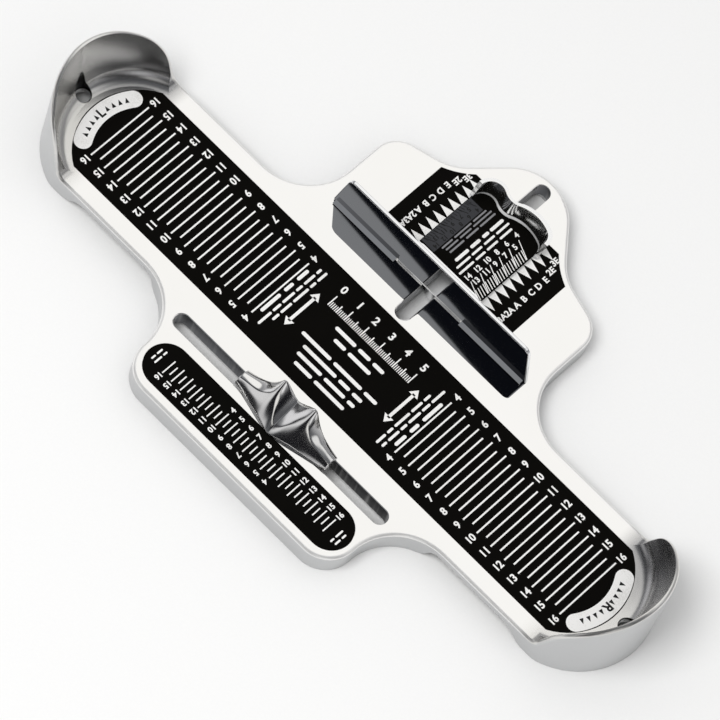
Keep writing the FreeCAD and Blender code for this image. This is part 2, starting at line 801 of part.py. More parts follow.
def bowed_spring(label, plane, middle_along, middle_across, reach, window, along=0.0):
    """Thin leaf, bowed up between keeper and slot rim, with a window for the guide block."""
    body = new_body(label, up=KEEPER_TOP, along=along)
    rise = size("spring_gap") - "spring_thick" - 0.05
    bow = (size(reach) * reach + rise * rise) / (rise * 2)
    lift = -size(middle_across) if plane == "XZ" else size(middle_across)
    sketch = new_sketch(body, "bow", plane, lift)
    near, far = size(middle_along) - reach, size(middle_along) + reach
    draw_outline(sketch, [(near, 0, bow, False), (far, 0),
                          (far, "spring_thick", bow, True), (near, "spring_thick")])
    pad(body, sketch, size("spring_y") * 2, Midplane=True)
    cut = new_sketch(body, "window", "XY")
    draw_slot(cut, *window, "slot_round")
    pocket(body, cut, "spring_gap", Reversed=True)
    return body


def screw_group(label, profile, places, up, along=0.0):
    """Like screws, one solid each."""
    body = new_body(label, up=up, along=along)
    for index, (x, y) in enumerate(places, start=1):
        turn(body, f"screw{index}", x, y, profile, up)
    return body


def drill(body, name, profile, places, up):
    for index, (x, y) in enumerate(places, start=1):
        turn(body, f"{name}{index}", x, y, profile, up, hole=True)


THREAD_TOP = KEEPER_TOP + "thread_deep"
width_guide = guide_block(
    "width_guide_block",
    ((0, size("width_foot_near") + "guide_round"), (0, size("width_foot_far") - "guide_round")),
    ((0, size("width_guide_near") + "guide_round"), (0, size("width_guide_far") - "guide_round")))
width_keeper = keeper("width_keeper", (-size("keeper_y"), "width_keeper_near"),
                      ("keeper_y", "width_keeper_far"))
spring_middle = (size("width_keeper_near") + "width_keeper_far") / 2
spring_reach = (size("width_keeper_far") - "width_keeper_near") / 2 - 0.5
bowed_spring(
    "width_spring", "YZ", spring_middle, 0, spring_reach,
    ((0, size("width_foot_near") + "guide_round"), (0, size("width_foot_far") - "guide_round")))

width_keeper_places = [(0, "width_screw_near"), (0, "width_screw_far")]
keeper_bore = sunk_below(KEEPER_FOOT, THREAD_TOP, FIT)
drill(width_guide, "keeper_screw", keeper_bore, width_keeper_places, KEEPER_TOP)
drill(width_keeper, "keeper_screw", keeper_bore, width_keeper_places, KEEPER_FOOT)
width_keeper_screws = screw_group("width_keeper_screws", sunk_below(KEEPER_FOOT, THREAD_TOP),
                                  width_keeper_places, KEEPER_FOOT)
screw_slots(width_keeper_screws, width_keeper_places, KEEPER_FOOT, KEEPER_FOOT)

guide_screw_places = [(0, "guide_screw_near"), (0, "guide_screw_far")]
guide_screw_foot = CARRIAGE_FOOT - "thread_deep"
top_bore = sunk_above(guide_screw_foot, CARRIAGE_TOP, FIT)
drill(width_guide, "top_screw", top_bore, guide_screw_places, KEEPER_TOP)
drill(carriage, "top_screw", top_bore, guide_screw_places, CARRIAGE_FOOT)
screw_group("width_guide_screws", sunk_above(guide_screw_foot, CARRIAGE_TOP), guide_screw_places,
            CARRIAGE_FOOT)

# the width bar: a thin upright wall with a foot riveted to the carriage
bar = new_body("width_bar", up=CARRIAGE_TOP)
face = new_sketch(bar, "face", "XZ", -size("bar_face_y"))
wing_foot = size("table_top") + "bar_gap" - CARRIAGE_TOP
draw_outline(face, [(-size("bar_foot_x"), wing_foot), (-size("bar_notch_x"), wing_foot),
                    (-size("bar_notch_x"), 0), ("bar_notch_x", 0),
                    ("bar_notch_x", wing_foot), ("bar_foot_x", wing_foot),
                    ("bar_top_x", "bar_height"), (-size("bar_top_x"), "bar_height")])
pad(bar, face, "bar_thick", Reversed=True)
BAR_TOP = size("bar_height").number
fillet(bar, "top_corners", "bar_corner",
       lambda e: e.BoundBox.XLength < 0.1 and e.BoundBox.ZMin > BAR_TOP - 0.1 and e.BoundBox.YLength > 1)
fillet(bar, "edges", "bar_edge", lambda e: e.BoundBox.YLength < 0.01 and e.BoundBox.ZMax > 1.0)
toe = new_sketch(bar, "toe", "YZ", "bar_notch_x")
toe_front = size("bar_face_y") - "toe_reach"
draw_outline(toe, [(toe_front, wing_foot), (size("bar_face_y") + "bar_edge", wing_foot),
                   (size("bar_face_y") + "bar_edge", wing_foot + "toe_tall"),
                   ("bar_face_y", wing_foot + "toe_tall"), (toe_front, wing_foot + "toe_edge")])
mirror_over(bar, "YZ", [pad(bar, toe, size("toe_x") - "bar_notch_x")])
foot = new_sketch(bar, "foot", "XY")
foot_near = size("bar_face_y") + size("bar_thick") / 2
draw_outline(foot, [(-size("bar_flange_x"), foot_near), ("bar_flange_x", foot_near),
                    ("bar_flange_x", "bar_flange_far"), (-size("bar_flange_x"), "bar_flange_far")])
pad(bar, foot, "bar_flange_thick")
FOOT_FAR = size("bar_flange_far").number
fillet(bar, "foot_corners", "bar_flange_corner",
       lambda e: e.BoundBox.ZLength > 1 and e.BoundBox.YMin > FOOT_FAR - 0.1 and e.BoundBox.XLength < 0.1)

FLANGE_TOP = CARRIAGE_TOP + "bar_flange_thick"


def rivet(grow=0.0):
    """Round-head rivet, its tail spread flush under the carriage."""
    shank = size("rivet_round") + grow
    dome = size("rivet_head_tall")
    dome_round = (dome * dome + size("rivet_head") * "rivet_head") / (dome * 2)
    return [(0, CARRIAGE_FOOT), (size("rivet_tail") + grow, CARRIAGE_FOOT),
            (shank, CARRIAGE_FOOT + 0.8), (shank, FLANGE_TOP),
            ("rivet_head", FLANGE_TOP, dome_round, True), (0, FLANGE_TOP + dome)]


rivet_places = [(-size("rivet_x"), "rivet_y"), ("rivet_x", "rivet_y")]
drill(carriage, "rivet", rivet(FIT), rivet_places, CARRIAGE_FOOT)
drill(bar, "rivet", rivet(FIT), rivet_places, CARRIAGE_TOP)
screw_group("width_bar_rivets", rivet(), rivet_places, CARRIAGE_FOOT)


# ---------------------------------------------------------------- arch slide
ARCH = "arch_rest"
arch_y = size("arch_slot_y")
arch_guide_end = size("arch_guide_x") - "guide_round"
arch_foot_end = size("arch_foot_x") - "guide_round"
arch_guide = guide_block("arch_guide_block", ((-arch_foot_end, arch_y), (arch_foot_end, arch_y)),
                         ((-arch_guide_end, arch_y), (arch_guide_end, arch_y)), ARCH)
arch_keeper = keeper("arch_keeper", (-size("arch_keeper_x"), arch_y - "keeper_y"),
                     ("arch_keeper_x", arch_y + "keeper_y"), ARCH)
bowed_spring("arch_spring", "XZ", 0, arch_y, size("arch_keeper_x") - 0.5,
             ((-arch_foot_end, arch_y), (arch_foot_end, arch_y)), ARCH)
arch_keeper_places = [(-size("arch_screw_x"), arch_y), ("arch_screw_x", arch_y)]
drill(arch_guide, "keeper_screw", keeper_bore, arch_keeper_places, KEEPER_TOP)
drill(arch_keeper, "keeper_screw", keeper_bore, arch_keeper_places, KEEPER_FOOT)
arch_keeper_screws = screw_group("arch_keeper_screws", sunk_below(KEEPER_FOOT, THREAD_TOP),
                                 arch_keeper_places, KEEPER_FOOT, ARCH)
screw_slots(arch_keeper_screws, arch_keeper_places, KEEPER_FOOT, KEEPER_FOOT)

# the pointer: a wedge with two ears, hollowed towards the foot, that runs out to a tip
pointer = new_body("arch_pointer", up=CARRIAGE_FOOT, along=ARCH)
ENDS = [(-40.6, 0), (-41.2, 2.6), (-44.6, 4.4), (-47.8, 2.2), (-49.0, 0)]
WING = [(-39.6, 0), (-40.4, 6.0), (-42.6, 8.4), (-48.8, 4.4), (-50.4, 0)]
EAR = [(-38.4, 0), (-36.8, size("ear_rise") - 0.6), (-38.8, "ear_rise"), (-50.5, 3.4), (-51.6, 0)]
VALLEY = [(-38.0, 0), (-36.0, "valley_rise"), (-40.0, 8.6), ("tip_y", 1.2), ("tip_y", 0)]
STATIONS = (                     # place along the foot, and the section there as (y, height)
    ("left_end", -size("wing_left_x"), ENDS), ("left_wing", -size("wing_x"), WING),
    ("left_ear", -size("ear_x"), EAR), ("valley", size(0), VALLEY), ("right_ear", size("ear_x"), EAR),
    ("right_wing", size("wing_x"), WING), ("right_end", size("wing_right_x"), ENDS))
sections = []
for name, place, corners in STATIONS:
    section = new_sketch(pointer, name, "YZ", place)
    draw_outline(section, corners)
    sections.append(section)
pointer_loft = pointer.newObject("PartDesign::AdditiveLoft", "arch_pointer_wedge")
pointer_loft.Profile = sections[0]
pointer_loft.Sections = sections[1:]
pointer_loft.Ruled = True
finish_feature(pointer, pointer_loft)

pointer_places = [(-size("pointer_screw_x"), arch_y), ("pointer_screw_x", arch_y)]
head_foot = KEEPER_TOP + "pointer_screw_deep"
pointer_screw_top = CARRIAGE_FOOT + "thread_deep"
head_room = [(0, KEEPER_TOP), (size("screw_head") + FIT * 3, KEEPER_TOP),
             (size("screw_head") + FIT * 3, head_foot + "cheese_tall"),
             (size("screw_round") + FIT, head_foot + "cheese_tall"),
             (size("screw_round") + FIT, pointer_screw_top + FIT), (0, pointer_screw_top + FIT)]
drill(arch_guide, "pointer_screw", head_room, pointer_places, KEEPER_TOP)
drill(pointer, "pointer_screw", head_room, pointer_places, CARRIAGE_FOOT)
screw_group("arch_pointer_screws", cheese_below(head_foot, pointer_screw_top), pointer_places, head_foot,
            ARCH)


# ---------------------------------------------------------------- check and write
NODES = ("base_casting", *PLATES, "width_bar", "width_bar_rivets", "width_carriage",
         "width_chart_plate", "width_guide_block", "width_guide_screws", "width_spring",
         "width_keeper", "width_keeper_screws", "arch_pointer", "arch_pointer_screws",
         "arch_guide_block", "arch_spring", "arch_keeper", "arch_keeper_screws")
doc.recompute()
for thing in doc.Objects:
    if "Invalid" in thing.State or "Error" in thing.State:
        raise RuntimeError(f"{thing.Name}: {thing.State}")
os.makedirs("parts", exist_ok=True)
for node in NODES:
    part = next(thing for thing in doc.Objects if thing.Label == node)
    if part.Shape.isNull() or not part.Shape.isValid():
        raise RuntimeError(f"{node} has no valid shape")
for node in NODES:
    part = next(thing for thing in doc.Objects if thing.Label == node)
    part.Shape.exportStep(f"parts/{node}.step")
    print(f"{node}: {len(part.Shape.Solids)} solid(s), {part.Shape.Volume:.0f} mm3")
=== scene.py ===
"""Foot measuring device: a polished casting with black scale plates, a width slide and an arch slide."""
import math

import bmesh
import bpy
from mathutils import Matrix, Vector


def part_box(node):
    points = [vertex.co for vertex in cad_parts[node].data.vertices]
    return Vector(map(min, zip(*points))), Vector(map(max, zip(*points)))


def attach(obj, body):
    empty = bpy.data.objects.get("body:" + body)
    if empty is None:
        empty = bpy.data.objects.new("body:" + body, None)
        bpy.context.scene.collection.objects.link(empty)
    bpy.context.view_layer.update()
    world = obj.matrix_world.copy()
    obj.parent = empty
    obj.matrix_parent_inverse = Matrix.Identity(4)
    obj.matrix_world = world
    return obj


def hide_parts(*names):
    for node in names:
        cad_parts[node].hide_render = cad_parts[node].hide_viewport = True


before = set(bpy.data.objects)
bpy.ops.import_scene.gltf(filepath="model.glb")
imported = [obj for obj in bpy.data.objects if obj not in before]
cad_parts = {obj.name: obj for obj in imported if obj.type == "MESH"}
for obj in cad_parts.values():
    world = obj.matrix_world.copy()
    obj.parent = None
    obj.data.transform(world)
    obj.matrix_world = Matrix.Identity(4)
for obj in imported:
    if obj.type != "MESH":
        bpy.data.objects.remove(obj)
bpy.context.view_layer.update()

# ---------------------------------------------------------------- studio
# A studio table: the device lies on matt white board, under a wide soft light.
# Polished metal shows a dim room with bright and black cards hung in it, and the dark side where the
# camera stands.
scene = bpy.context.scene
scene.view_settings.view_transform = "Standard"

camera_right = Vector((0.70302491, 0.68965374, 0.17359061))
camera_back = Vector((0.18332765, -0.41159078, 0.89273961))
camera_up = camera_back.cross(camera_right)
camera_place = Vector((0.481525, -1.096548, 2.340494))
camera_data = bpy.data.cameras.new("camera")
camera_data.sensor_width = 36.0
camera_data.lens = 296.65
camera = bpy.data.objects.new("camera", camera_data)
turned = Matrix((camera_right, camera_up, camera_back)).transposed().to_4x4()
camera.matrix_world = Matrix.Translation(camera_place) @ turned
scene.collection.objects.link(camera)
scene.camera = camera


class Signal:
    """A socket of a shader. Sums and products of signals add their Math nodes."""

    def __init__(self, tree, socket=None):
        self.tree = tree
        self.socket = socket

    def node(self, kind, values=(), output=0, stops=(), **settings):
        """Add a node: its settings and ramp stops first, then the values or links of its sockets."""
        made = self.tree.nodes.new(kind)
        for name, value in settings.items():
            setattr(made, name, value)
        if stops:
            ramp = made.color_ramp.elements
            while len(ramp) < len(stops):
                ramp.new(0.5)
            for element, (position, colour) in zip(ramp, stops):
                element.position = position
                element.color = (*colour, 1)
        for name, value in dict(values).items():
            if isinstance(value, Signal):
                self.tree.links.new(value.socket, made.inputs[name])
            else:
                made.inputs[name].default_value = value
        return Signal(self.tree, made.outputs[output] if len(made.outputs) else None)

    def math(self, operation, *others, clamp=False):
        """A Math node on this number and others."""
        return self.node("ShaderNodeMath", enumerate((self, *others)), operation=operation, use_clamp=clamp)

    def __add__(self, other):
        return self.math("ADD", other)

    def __sub__(self, other):
        return self.math("SUBTRACT", other)

    def __rsub__(self, other):
        return self.node("ShaderNodeMath", {0: other, 1: self}, operation="SUBTRACT")

    def __mul__(self, other):
        return self.math("MULTIPLY", other)

    __radd__ = __add__
    __rmul__ = __mul__

    def __truediv__(self, other):
        return self.math("DIVIDE", other)

    def __neg__(self):
        return self.math("MULTIPLY", -1.0)

    def clip(self):
        """No less than 0 and no more than 1."""
        return self.math("ADD", 0.0, clamp=True)

    def size(self):
        """The number without its sign."""
        return self.math("ABSOLUTE")

    def parts(self):
        """The three numbers of a vector."""
        split = self.node("ShaderNodeSeparateXYZ", {0: self}).socket.node
        return [Signal(self.tree, socket) for socket in split.outputs]

    def step(self, low, high):
        """0 below low, 1 above high, eased between them."""
        return self.node("ShaderNodeMapRange", {"Value": self, "From Min": low, "From Max": high},
                         interpolation_type="SMOOTHSTEP")

    def tint(self, first, second):
        """First colour where this signal is 0, second where it is 1."""
        first, second = (tone if isinstance(tone, Signal) else (*tone, 1) for tone in (first, second))
        return self.node("ShaderNodeMix", {0: self, 6: first, 7: second}, output=2, data_type="RGBA")

    def stretched(self, scales, turn=0.0):
        """This place with its axes scaled, for streaks."""
        return self.node("ShaderNodeMapping", {"Vector": self, "Rotation": (0, 0, turn), "Scale": scales})

    def noise(self, scale, detail, **more):
        """Noise over this place, finer for a larger scale."""
        return self.node("ShaderNodeTexNoise", {"Vector": self, "Scale": scale, "Detail": detail, **more})

    def bump(self, strength=1.0, distance=1.0):
        """This height as a normal."""
        return self.node("ShaderNodeBump", {"Height": self, "Strength": strength, "Distance": distance})


world = bpy.data.worlds.new("studio")
scene.world = world
world.use_nodes = True
world.node_tree.nodes.clear()
air = Signal(world.node_tree)
way = air.node("ShaderNodeTexCoord")


def facing(aim):
    """How nearly a direction points at an aim: 1 straight at it, 0 square to it."""
    aim = Vector(aim).normalized()
    return air.node("ShaderNodeVectorMath", {0: way, 1: aim}, output=1, operation="DOT_PRODUCT")


def disc(aim, inner, outer):
    """1 within an angle of the aim, 0 beyond the outer angle (degrees)."""
    return facing(aim).step(math.cos(math.radians(outer)), math.cos(math.radians(inner)))


overhead = facing((0, 0, 1))
sideways = facing((1, 0, 0))
behind_camera = facing((0.085, -0.9038980, -0.4244448))
shade = air.node("ShaderNodeValToRGB", {0: overhead},
                 stops=[(0.0, (0.50, 0.50, 0.51)), (0.30, (0.36, 0.36, 0.37)),
                        (0.70, (0.180, 0.186, 0.197)), (1.0, (0.215, 0.221, 0.232))])
for mask, colour in (
        # unlit upper half of the right wall
        (sideways.step(0.02, 0.42) * overhead.step(0.35, 0.75) * 0.6, (0.02, 0.02, 0.025)),
        # the dark side, where the camera stands: a sharp upper edge, paler again further down
        (behind_camera.step(-0.00670, -0.00645) * (1 - behind_camera.step(0.12, 0.36) * 0.85),
         (0.0035, 0.004, 0.006)),
        # white card low on the left, and another low on the right, nearer the camera
        (disc((-0.95, -0.10, 0.28), 12, 20), (0.75, 0.75, 0.77)),
        (disc((0.72, -0.62, 0.30), 9, 16), (0.85, 0.85, 0.86)),
        # soft card to the left of the camera, over a black one
        (disc((-0.50, -0.66, 0.56), 8, 20), (0.70, 0.70, 0.71)),
        (disc((-0.56, -0.81, 0.12), 9, 17), (0.02, 0.02, 0.022)),
        # black card under the camera, and a small white one to the right of it
        (disc((0.05, -0.88, 0.45), 16, 21), (0.006, 0.006, 0.008)),
        (disc((0.42, -0.60, 0.68), 8, 14), (0.85, 0.84, 0.82)),
        # pale card high on the right, behind the device
        (disc((0.42, 0.45, 0.79), 12, 22), (0.80, 0.80, 0.80)),
        # small black card high on the left
        (disc((-0.60, -0.32, 0.74), 8, 16), (0.04, 0.04, 0.045)),
        # large white card over the back, which the flat table shows to the camera
        (disc((-0.34, 0.52, 0.80), 24, 31), (1.0, 0.995, 0.98))):
    shade = mask.tint(shade, colour)
rays = air.node("ShaderNodeLightPath").socket.node.outputs
seen_in_metal = Signal(world.node_tree, rays["Is Glossy Ray"]).tint((0.62, 0.62, 0.62), shade)
sky = Signal(world.node_tree, rays["Is Camera Ray"]).tint(seen_in_metal, (1.0, 1.0, 1.0))
backdrop = air.node("ShaderNodeBackground", {"Color": sky, "Strength": 1.0})
air.node("ShaderNodeOutputWorld", {"Surface": backdrop})

lamp_data = bpy.data.lights.new("soft_box", "AREA")
lamp_data.shape = "RECTANGLE"
lamp_data.size = 1.0
lamp_data.size_y = 1.0
lamp_data.energy = 24.0
lamp = bpy.data.objects.new("soft_box", lamp_data)
lamp.visible_glossy = False
lamp_place = Vector((-0.33, -0.92, 1.98))
lamp.matrix_world = (Matrix.Translation(lamp_place)
                     @ lamp_place.to_track_quat("Z", "Y").to_matrix().to_4x4())
scene.collection.objects.link(lamp)


def finish(name, **constants):
    """A new material: the place on its piece, and a function that plugs signals into its shader."""
    material = bpy.data.materials.new(name)
    material.use_nodes = True
    tree = material.node_tree
    shader = tree.nodes["Principled BSDF"]
    for socket, value in constants.items():
        shader.inputs[socket.replace("_", " ")].default_value = value

    def plug(**signals):
        for socket, signal in signals.items():
            tree.links.new(signal.socket, shader.inputs[socket.replace("_", " ")])
    return material, Signal(tree).node("ShaderNodeTexCoord", output=3), plug


def sheet_object(name, bm):
    """A piece of the scene from a finished bmesh."""
    mesh = bpy.data.meshes.new(name)
    bm.to_mesh(mesh)
    bm.free()
    made = bpy.data.objects.new(name, mesh)
    scene.collection.objects.link(made)
    return made


BOARD_HALF = 6.0                      # metres, far past what the camera sees
BOARD_DROP = 0.0002                   # a hair under the skirt, so that the two never share a plane
board_material, place, plug = finish("white_board", Roughness=0.9, Specular_IOR_Level=0.1)
plug(Base_Color=place.noise(900.0, 2.0).tint((0.90, 0.90, 0.895), (0.93, 0.93, 0.925)))
bm = bmesh.new()
bmesh.ops.create_grid(bm, x_segments=1, y_segments=1, size=BOARD_HALF,
                      matrix=Matrix.Translation((0, 0, -BOARD_DROP)))
board = sheet_object("white_board", bm)
board.data.materials.append(board_material)

# ---------------------------------------------------------------- casting
# One aluminium casting: table, skirt and both heel cups. It is ground and buffed to a mirror on top
# and left as cast underneath, where the sand still shows.
MM = 0.001
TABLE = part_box("length_scale_plate")[1].z
FOOT_LINE = sum(corner.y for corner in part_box("length_scale_plate")) / 2
SLOT_HALF = 4.0 * MM
ARCH_SLOT_LINE = -45.0 * MM           # from the foot line
ARCH_SLOT_RUN = 61.5 * MM             # from its middle to the centre of a round end
WIDTH_SLOT_MIDDLE = 78.75 * MM        # from the foot line
WIDTH_SLOT_RUN = 44.75 * MM
CUP_CENTRE = 135.2 * MM
CUP_RADIUS = 37.1 * MM                # where its wall meets the table
CUP_LEAN = 0.12
HOLE_CENTRE = 170.0 * MM
HOLE_RADIUS = 4.0 * MM

polish, place, plug = finish("buffed_casting")
x, y, z = place.parts()
level = place.node("ShaderNodeNewGeometry", output=1).parts()[2]
beside = y - FOOT_LINE


def span(a, b):
    """Distance over two legs square to each other."""
    return (a * a + b * b).math("SQRT")


def past_slot(along, across, run):
    """Distance from the edge of a slot, from where a point lies along and across it."""
    return span((along.size() - run).math("MAXIMUM", 0.0), across) - SLOT_HALF


# where on the casting a point lies: each mask is 1 there
slot_edge = past_slot(y - (FOOT_LINE + WIDTH_SLOT_MIDDLE), x, WIDTH_SLOT_RUN).math(
    "MINIMUM", past_slot(x, y - (FOOT_LINE + ARCH_SLOT_LINE), ARCH_SLOT_RUN))
flat = level.step(0.9990, 0.9999)
under = (-level).step(0.3, 0.6)
cup = x.size().step(0.137, 0.149)
from_centre = span(x.size() - CUP_CENTRE, beside)
bowl = (1 - (from_centre - (z - TABLE) * CUP_LEAN).step(CUP_RADIUS, CUP_RADIUS + 0.4 * MM)) * cup
hole = 1 - span(x.size() - HOLE_CENTRE, beside).step(HOLE_RADIUS, HOLE_RADIUS + 0.2 * MM)
slot_wall = (1 - slot_edge.step(0.0002, 0.0006)) * (1 - level.size().step(0.2, 0.4))
side_face = (1 - flat) * (1 - bowl) * (1 - slot_wall)
fillet = (1 - flat) * level.step(0.40, 0.60) * (1 - cup) * (1 - slot_wall)

# marks of the work: buffing clouds and smears, hairlines, cast sand, and streaks down the slot walls
cloud = place.noise(26.0, 4.0)
smear = place.noise(150.0, 5.0, Roughness=0.62, Distortion=0.8)
hair = place.stretched((240.0, 9000.0, 9000.0), turn=0.42).noise(1.0, 1.0).step(0.66, 0.80)
sand = place.noise(1400.0, 3.0)
ripple = place.noise(26.0, 1.0)
streak = place.stretched((420.0, 420.0, 14.0)).noise(1.0, 2.0)
groove = place.stretched((900.0, 900.0, 22.0)).noise(1.0, 2.0)

# colour: pale metal, duller in the cups and on the sides, and dark in the slots; painted shadow in the
# slots, painted shade on the cup walls, and painted light and shade in the hang holes
tone = cloud.tint((0.905, 0.895, 0.875), (0.945, 0.94, 0.93))
tone = (cup * (0.5 + cloud.step(0.35, 0.7) * 0.5)).tint(tone, (0.70, 0.69, 0.665))
tone = (side_face * (1 - level.step(0.1, 0.5))).tint(tone, (0.57, 0.575, 0.58))
# painted shadow: the slot walls are painted darker from x = 10 to 22 mm onwards, as the pointer's shadow
slot_wall_dark_and_painted_shadow = x.step(0.010, 0.022).tint((0.17, 0.173, 0.187), (0.030, 0.030, 0.033))
tone = (slot_wall * (1 - streak.step(0.45, 0.80) * 0.28)).tint(tone, slot_wall_dark_and_painted_shadow)
# painted shade: the cup walls are darkened on their half beyond the foot line
tone = (bowl * beside.step(-0.012, 0.030) * 0.75).tint(tone, (0.30, 0.30, 0.31))
# painted shade at the mouth of the hang hole, and painted light on its wall deeper down
hole_painted_light_and_shade = (z - TABLE).step(-0.0016, -0.0004).tint((0.90, 0.90, 0.90), (0.03, 0.03, 0.03))
tone = hole.tint(tone, hole_painted_light_and_shade)
tone = under.tint(tone, (0.52, 0.52, 0.51))

# roughness: a mirror on the table, dull cup floors, satin walls, and rough as cast below
shine = 0.007 + smear.step(0.5, 0.8) * 0.003 + hair * 0.006
dull = 0.16 + smear * 0.10 + cloud * 0.06
satin = 0.05 + smear * 0.04
rough = flat * (1 - cup) * shine + flat * cup * dull + (1 - flat) * (satin + side_face * 0.24 + bowl * 0.19)
rough = rough * (1 - under) + under * 0.55

# heights in metres; the buffing wheel rounds the table off towards the slots
brow = (1 - slot_edge / (0.7 * MM)).clip()
shoulder = (1 - slot_edge / (4.0 * MM)).clip()
relief = (ripple * 1.5e-6 + (1 - flat) * (1 - bowl * 0.8) * smear * 1.2e-5 + cup * cloud * 8.0e-5
          + under * sand * 1.0e-4 + slot_wall * groove * 1.6e-4
          - brow * brow * 1.4e-4 * flat - shoulder * shoulder * 4.0e-5 * flat)
plug(Base_Color=tone, Roughness=rough, Metallic=1 - fillet * 0.4, Normal=relief.bump())


def wear(material, *nodes):
    """Give CAD nodes their finish through their material slots."""
    for node in nodes:
        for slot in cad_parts[node].material_slots:
            slot.material = material


wear(polish, "base_casting")

# ---------------------------------------------------------------- long scale plate
# A thin black anodised plate let into the table between the cups. Its length lines, numbers and
# heel marks are silk-screened in white ink.
INK = 0.04 * MM


def spot(x, y, z=0.0):
    """Place on the device: x from its middle, y from the foot line (mm), z in metres."""
    return Vector((x * MM, y * MM + FOOT_LINE, z))


def stroke(bm, start, end, width, top, layer=0):
    """Printed line between two places, which gives back its corners."""
    a, b = spot(*start, top + (layer + 0.4) * INK), spot(*end, top + (layer + 0.4) * INK)
    run = b - a
    return bmesh.ops.create_cube(bm, size=1.0, matrix=Matrix.Translation((a + b) / 2)
                                 @ Matrix.Rotation(math.atan2(run.y, run.x), 4, "Z")
                                 @ Matrix.Diagonal((run.length, width * MM, INK, 1)))["verts"]


def bead(bm, start, end, width, top):
    """Printed line with round ends."""
    corners = stroke(bm, start, end, width, top)
    upright = [e for v in corners for e in v.link_edges if e.other_vert(v).co.z - v.co.z > INK / 2]
    bmesh.ops.bevel(bm, geom=upright, offset=width * 0.48 * MM, affect="EDGES", segments=3, profile=0.5,
                    material=-1)


def raised(lifted):
    """The corners that an extrusion has made."""
    return [v for v in lifted["geom"] if isinstance(v, bmesh.types.BMVert)]


def triangle(bm, corners, top, layer=0):
    """Printed solid triangle."""
    foot = [bm.verts.new(spot(x, y, top + (layer - 0.1) * INK)) for x, y in corners]
    rise = raised(bmesh.ops.extrude_face_region(bm, geom=[bm.faces.new(foot)]))
    bmesh.ops.translate(bm, verts=rise, vec=(0, 0, INK))
    around = [f for f in bm.faces if any(v in rise or v in foot for v in f.verts)]
    bmesh.ops.recalc_face_normals(bm, faces=around)


def figure(bm, text, height, place, turn, top, layer=0, weight=0.032, wide=1.0):
    """Printed number or letter: its height in mm, its middle and the way it reads."""
    curve = bpy.data.curves.new("figure", "FONT")
    curve.body = text
    curve.resolution_u = 3
    curve.offset = weight
    curve.extrude = 0.5
    holder = bpy.data.objects.new("figure", curve)
    mesh = bpy.data.meshes.new_from_object(holder)
    xs = [v.co.x for v in mesh.vertices]
    ys = [v.co.y for v in mesh.vertices]
    scale = height * MM / (max(ys) - min(ys))
    middle = Matrix.Translation((-(max(xs) + min(xs)) / 2, -(max(ys) + min(ys)) / 2, 0))
    mesh.transform(Matrix.Translation(spot(*place, top + (layer + 0.4) * INK))
                   @ Matrix.Rotation(math.radians(turn), 4, "Z")
                   @ Matrix.Diagonal((scale * wide, scale, INK, 1)) @ middle)
    bm.from_mesh(mesh)
    bpy.data.objects.remove(holder)
    bpy.data.curves.remove(curve)
    bpy.data.meshes.remove(mesh)


def words(bm, lengths, start, turn, width, top, gap=1.1):
    """Row of plain bars, as long as words are, from its start in the way the row reads."""
    way = Matrix.Rotation(math.radians(turn), 2) @ Vector((1, 0))
    at = Vector(start)
    for length in lengths:
        bead(bm, tuple(at), tuple(at + way * length), width, top)
        at += way * (length + gap)


def printed(name, bm, body, material):
    """Finish a print as a piece on its body. Its faces are put in order, as extrusions leave theirs in
    any order."""
    bmesh.ops.remove_doubles(bm, verts=bm.verts, dist=0.0000005)
    bm.faces.sort(key=lambda face: face.calc_center_median().dot((1, 7, 49)))
    piece = sheet_object(name, bm)
    piece.data.materials.append(material)
    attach(piece, body)


def ink(name, dark, pale, gloss=0.2):
    """Screened ink: it covers a little unevenly."""
    material, place, plug = finish(name, Specular_IOR_Level=gloss)
    cover = place.noise(1500.0, 3.0)
    plug(Base_Color=cover.tint(dark, pale), Roughness=0.45 + cover * 0.2)
    return material


anodised, place, plug = finish("black_anodising", Specular_IOR_Level=0.03)
speck = place.noise(2600.0, 2.0)
smear = place.noise(60.0, 4.0)
plug(Base_Color=smear.tint((0.0016, 0.0014, 0.0010), (0.0034, 0.0030, 0.0024)),
     Roughness=0.34 + smear * 0.12 + speck * 0.06, Normal=speck.bump(0.15, 0.0001))
wear(anodised, "length_scale_plate", "arch_scale_plate", "width_scale_plate_left",
     "width_scale_plate_right", "width_chart_plate")

white_ink, place, plug = finish("white_ink", Specular_IOR_Level=0.25)
cover = place.noise(1500.0, 3.0)
worn = place.noise(90.0, 3.0)
plug(Base_Color=(cover * worn).step(0.10, 0.24).tint((0.74, 0.73, 0.71), (0.88, 0.875, 0.86)),
     Roughness=0.45 + cover * 0.2, Normal=cover.bump(0.2, 0.0001))
black_ink = ink("black_ink", (0.008, 0.008, 0.008), (0.016, 0.016, 0.016))

SIZE_STEP = 25.4 / 3                  # one size is a third of an inch
SIZE_FOUR = 44.7
ARROW = 31.0                          # line of the double arrow, from the middle
BAND_CENTRE = 129.0                   # centre of a heel band's arc
BAND_MIDDLE = 29.4                    # radius of its middle line
BAND_HALF = 4.25
BAND_SWING = math.radians(32.6)
MARK_STEP = math.radians(6.6)
MARK_TIP = 1.35
MARK_SPREAD = math.radians(2.0)


def on_band(side, reach, angle):
    """Place on a heel band: its distance from the centre and its angle from the foot line."""
    return (side * (BAND_CENTRE + reach * math.cos(angle)), reach * math.sin(angle))


